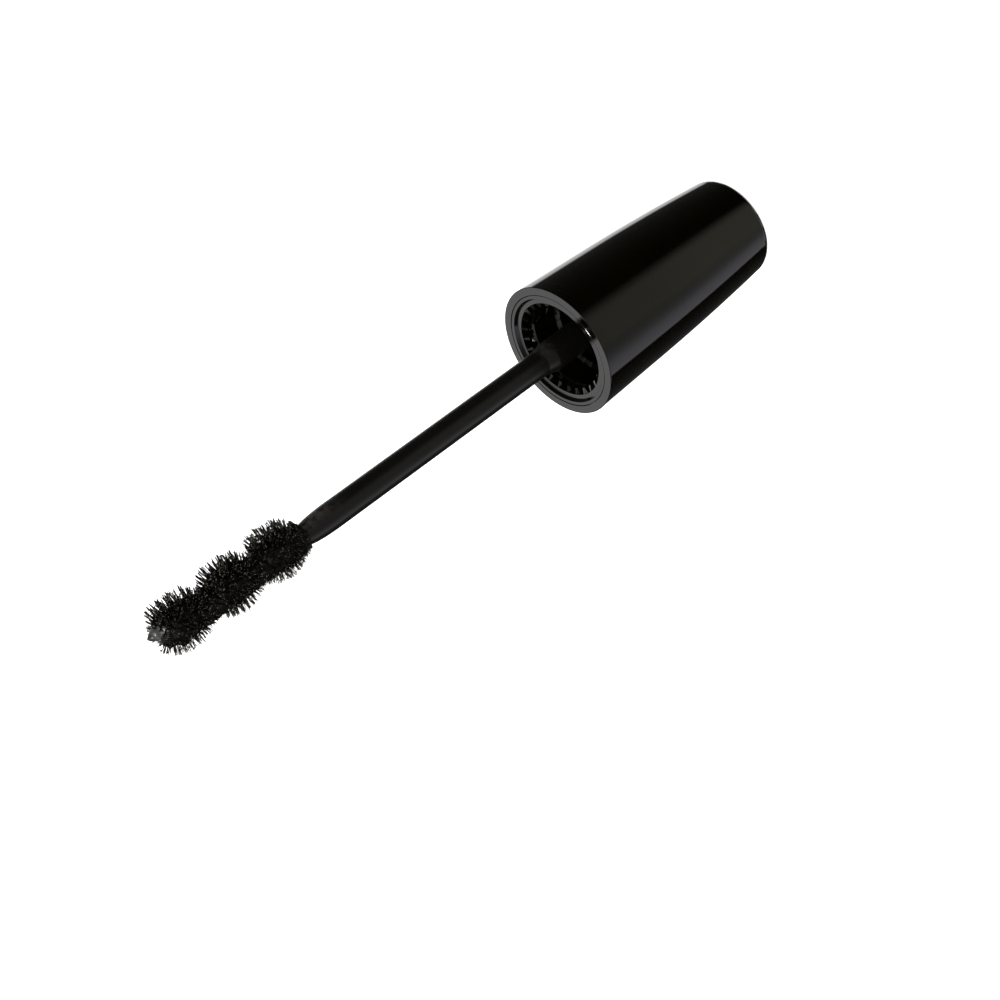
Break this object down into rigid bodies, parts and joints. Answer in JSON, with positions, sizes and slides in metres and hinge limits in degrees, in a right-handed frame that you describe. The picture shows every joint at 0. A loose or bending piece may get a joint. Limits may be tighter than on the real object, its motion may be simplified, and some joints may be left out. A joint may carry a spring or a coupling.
{
  "type": "mascara applicator",
  "caption": "Mascara cap and wand: tapered round cap with a threaded, toothed inner cap, a slim stem and a three-lobed twisted-wire brush.",
  "frame": {"origin": "centre of the cap's flat closed end, which the applicator stands on", "axes": "+Z along the axis from the closed end towards the tip of the brush; X and Y are across it. The part looks the same all round apart from its thread, teeth, grip ribs, twisted wire and the bead on its tip, which is 0.9 mm off the axis towards +X"},
  "size_m": [0.0202, 0.0202, 0.1128],
  "materials": {
    "gloss_black": "high-gloss moulded black",
    "moulded_black": "semi-gloss moulded black",
    "satin_black": "satin moulded black",
    "wire_steel": "drawn stainless wire",
    "bristle_black": "nylon fibre coated with mascara",
    "mascara_paste": "wet black paste"
  },
  "bodies": {
    "root": {"outer_cap": "gloss_black", "inner_cap": "moulded_black", "stem": "satin_black", "wire_strand_a": "wire_steel", "wire_strand_b": "wire_steel", "bristles_root": "bristle_black", "bristles_middle": "bristle_black", "bristles_tip": "bristle_black", "mascara_bead": "mascara_paste"}
  },
  "joints": []
}
